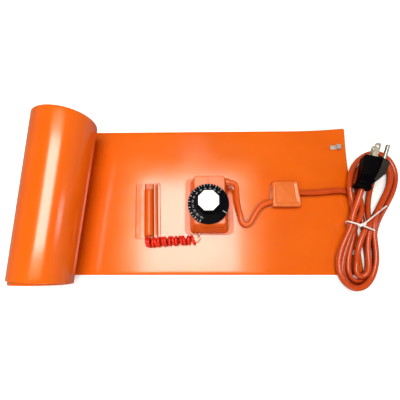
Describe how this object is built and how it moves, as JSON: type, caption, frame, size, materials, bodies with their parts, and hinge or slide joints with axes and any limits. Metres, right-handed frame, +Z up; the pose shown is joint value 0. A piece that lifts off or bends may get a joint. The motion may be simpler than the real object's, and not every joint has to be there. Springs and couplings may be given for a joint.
{
  "type": "drum heater blanket",
  "caption": "Flexible silicone rubber heating band, part wound into a roll, with dial thermostat, sensor pocket, joint cover, lacing hooks and a tied power cord with an earthed plug.",
  "frame": {"origin": "on the sheet's underside, straight below the axis of the control knob", "axes": "+X along the flat sheet towards the cord, +Y across the sheet away from the capillary, +Z up off the surface it lies on"},
  "size_m": [0.477, 0.2187, 0.08],
  "materials": {
    "sheet_rubber": "smooth satin silicone rubber",
    "housing_rubber": "moulded satin silicone rubber",
    "pocket_rubber": "bonded satin silicone strip",
    "cover_rubber": "moulded silicone, a little paler and cloudy",
    "cord_silicone": "silicone cord jacket, satin",
    "coil_sleeve": "thin red sleeve over the capillary",
    "copper_parts": "drawn copper",
    "plated_steel": "zinc plated",
    "screw_steel": "plated, plain",
    "shaft_metal": "turned",
    "brass_parts": "stamped, polished",
    "hook_steel": "nickel plated",
    "switch_plastic": "moulded",
    "knob_plastic": "black, glossy, white scale",
    "cap_metal": "brushed pale metal",
    "plug_plastic": "black moulded",
    "tie_plastic": "white strip"
  },
  "bodies": {
    "blanket": {"heater_sheet": "sheet_rubber", "thermostat_housing": "housing_rubber", "thermostat_plate": "plated_steel", "thermostat_switch": "switch_plastic", "thermostat_capsule": "plated_steel", "thermostat_terminals": "brass_parts", "shaft_bush": "plated_steel", "housing_screws": "screw_steel", "bulb_pocket": "pocket_rubber", "sensor_bulb": "copper_parts", "capillary_neck": "copper_parts", "capillary_coil": "coil_sleeve", "capillary_tail": "copper_parts", "lead_grommet": "cord_silicone", "thermostat_lead": "cord_silicone", "joint_cover": "cover_rubber", "power_cord": "cord_silicone", "cord_hank": "cord_silicone", "plug_tail": "cord_silicone", "cord_tie": "tie_plastic", "plug_body": "plug_plastic", "upper_blade": "brass_parts", "lower_blade": "brass_parts", "earth_pin": "brass_parts", "near_hook": "hook_steel", "far_hook": "hook_steel", "hook_rivets": "hook_steel", "hook_washers": "hook_steel"},
    "knob": {"control_shaft": "shaft_metal", "control_knob": "knob_plastic", "knob_cap": "cap_metal"}
  },
  "joints": [
    {"name": "knob_turn", "type": "hinge", "parent": "blanket", "child": "knob", "pos_m": [0, 0, 0.045], "axis": [0, 0, 1], "range_deg": [-150, 120]}
  ]
}
